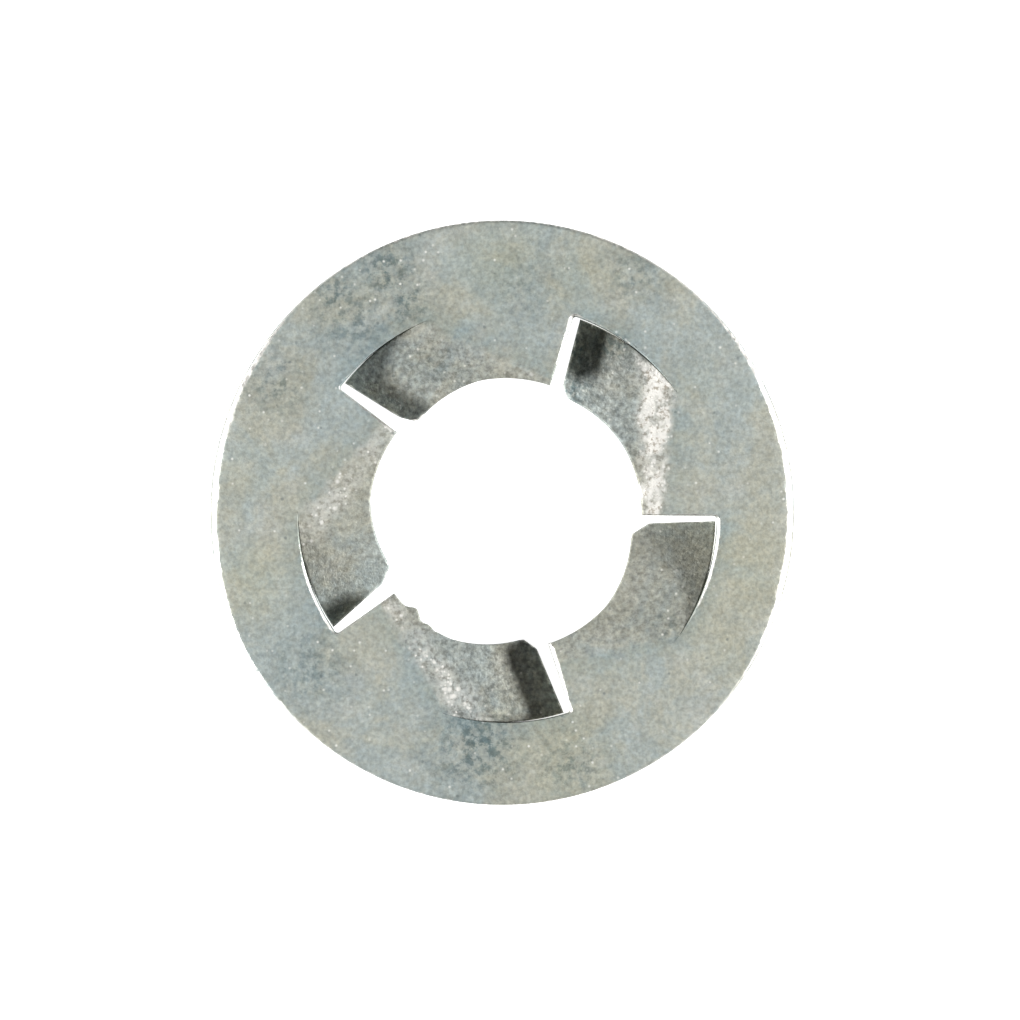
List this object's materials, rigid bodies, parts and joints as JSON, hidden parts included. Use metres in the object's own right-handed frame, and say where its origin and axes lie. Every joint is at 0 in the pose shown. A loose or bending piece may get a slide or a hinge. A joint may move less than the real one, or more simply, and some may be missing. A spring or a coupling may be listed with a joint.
{
  "type": "push-on nut",
  "caption": "Flat stamped spring-steel ring with lanced tongues folded down round its hole, pushed along a stud to grip and retain it.",
  "frame": {"origin": "on the stud's axis, at the level of the tongue tips, which the nut stands on", "axes": "+Z along the stud, out of the flat bearing face; +X along the fixed edge of one slit"},
  "size_m": [0.0175, 0.0174, 0.0014],
  "materials": {
    "zinc_plate": "satin zinc plate, cloudy blue-grey with pale olive patches, fine speckle"
  },
  "bodies": {
    "root": {"push_nut": "zinc_plate"}
  },
  "joints": []
}
